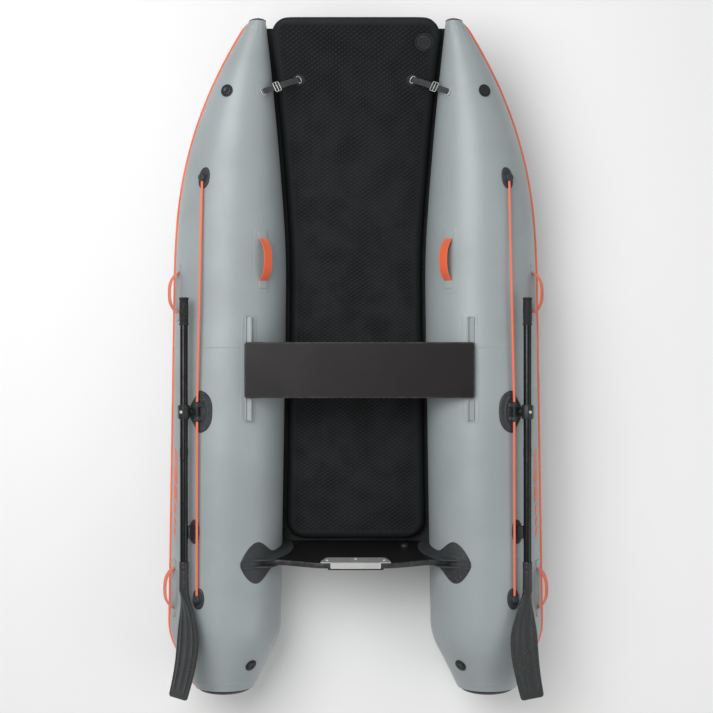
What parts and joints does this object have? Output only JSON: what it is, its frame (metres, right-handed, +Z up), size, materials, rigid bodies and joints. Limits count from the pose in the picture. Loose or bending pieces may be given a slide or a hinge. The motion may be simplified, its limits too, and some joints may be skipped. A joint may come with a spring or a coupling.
{
  "type": "inflatable catamaran",
  "caption": "Twin-tube inflatable catamaran with an air deck, transom for an outboard, sliding seat, grab lines and stowed oars.",
  "frame": {"origin": "on the floor that the tubes stand on, under the middle of the boat's length and beam", "axes": "+X starboard, +Y towards the bow, +Z up"},
  "size_m": [1.4786, 2.5871, 0.4994],
  "materials": {
    "grey_pvc": "coated fabric, satin",
    "black_pvc": "coated fabric, satin",
    "deck_fabric": "embossed matte",
    "orange_pvc": "satin",
    "orange_webbing": "woven matte",
    "orange_rope": "braided matte",
    "black_webbing": "woven matte",
    "black_rubber": "moulded matte",
    "black_moulding": "moulded matte",
    "black_plastic": "satin",
    "painted_ply": "painted satin",
    "seat_ply": "film faced satin",
    "bare_aluminium": "brushed",
    "black_anodised": "anodised satin",
    "grip_rubber": "ribbed matte",
    "blade_plastic": "satin"
  },
  "bodies": {
    "hull": {"left_tube": "grey_pvc", "left_bow_cap": "black_moulding", "left_stern_cap": "black_moulding", "left_rubbing_strake": "orange_pvc", "left_transom_holder": "black_rubber", "left_seat_rail": "grey_pvc", "left_inner_handle": "orange_webbing", "left_front_handle": "orange_webbing", "left_rear_handle": "orange_webbing", "left_bow_strap": "black_webbing", "left_bow_valve": "black_plastic", "left_stern_valve": "black_plastic", "left_front_rope_eye": "black_rubber", "left_rear_rope_eye": "black_rubber", "left_front_grab_line": "orange_rope", "left_rear_grab_line": "orange_rope", "left_oarlock_base": "black_rubber", "left_oar_clip": "black_rubber", "right_tube": "grey_pvc", "right_bow_cap": "black_moulding", "right_stern_cap": "black_moulding", "right_rubbing_strake": "orange_pvc", "right_transom_holder": "black_rubber", "right_seat_rail": "grey_pvc", "right_inner_handle": "orange_webbing", "right_front_handle": "orange_webbing", "right_rear_handle": "orange_webbing", "right_bow_strap": "black_webbing", "right_bow_valve": "black_plastic", "right_stern_valve": "black_plastic", "right_front_rope_eye": "black_rubber", "right_rear_rope_eye": "black_rubber", "right_front_grab_line": "orange_rope", "right_rear_grab_line": "orange_rope", "right_oarlock_base": "black_rubber", "right_oar_clip": "black_rubber", "bottom_sheet": "black_pvc", "deck_mat": "deck_fabric", "deck_valve": "black_plastic", "transom_board": "painted_ply", "motor_plate": "bare_aluminium", "motor_pad": "black_plastic", "drain_valve": "black_plastic"},
    "seat": {"seat_board": "seat_ply", "left_seat_slider": "black_plastic", "right_seat_slider": "black_plastic"},
    "left_oarlock_arm": {"left_oarlock_arm": "black_plastic"},
    "left_oar": {"left_oar_collar": "black_plastic", "left_oar_shaft": "black_anodised", "left_oar_grip": "grip_rubber", "left_oar_blade": "blade_plastic"},
    "right_oarlock_arm": {"right_oarlock_arm": "black_plastic"},
    "right_oar": {"right_oar_collar": "black_plastic", "right_oar_shaft": "black_anodised", "right_oar_grip": "grip_rubber", "right_oar_blade": "blade_plastic"}
  },
  "joints": [
    {"name": "seat_slide", "type": "slide", "parent": "hull", "child": "seat", "axis": [0, 1, 0], "range_m": [-0.08, 0.08]},
    {"name": "left_oarlock_lift", "type": "hinge", "parent": "hull", "child": "left_oarlock_arm", "pos_m": [-0.59613, -0.193, 0.42442], "axis": [0, 1, 0], "range_deg": [0, 25]},
    {"name": "left_oar_swing", "type": "hinge", "parent": "left_oarlock_arm", "child": "left_oar", "pos_m": [-0.64431, -0.193, 0.43652], "axis": [0.4384, 0, -0.8988], "range_deg": [0, 130]},
    {"name": "right_oarlock_lift", "type": "hinge", "parent": "hull", "child": "right_oarlock_arm", "pos_m": [0.59613, -0.193, 0.42442], "axis": [0, -1, 0], "range_deg": [0, 25]},
    {"name": "right_oar_swing", "type": "hinge", "parent": "right_oarlock_arm", "child": "right_oar", "pos_m": [0.64431, -0.193, 0.43652], "axis": [0.4384, 0, 0.8988], "range_deg": [0, 130]}
  ]
}
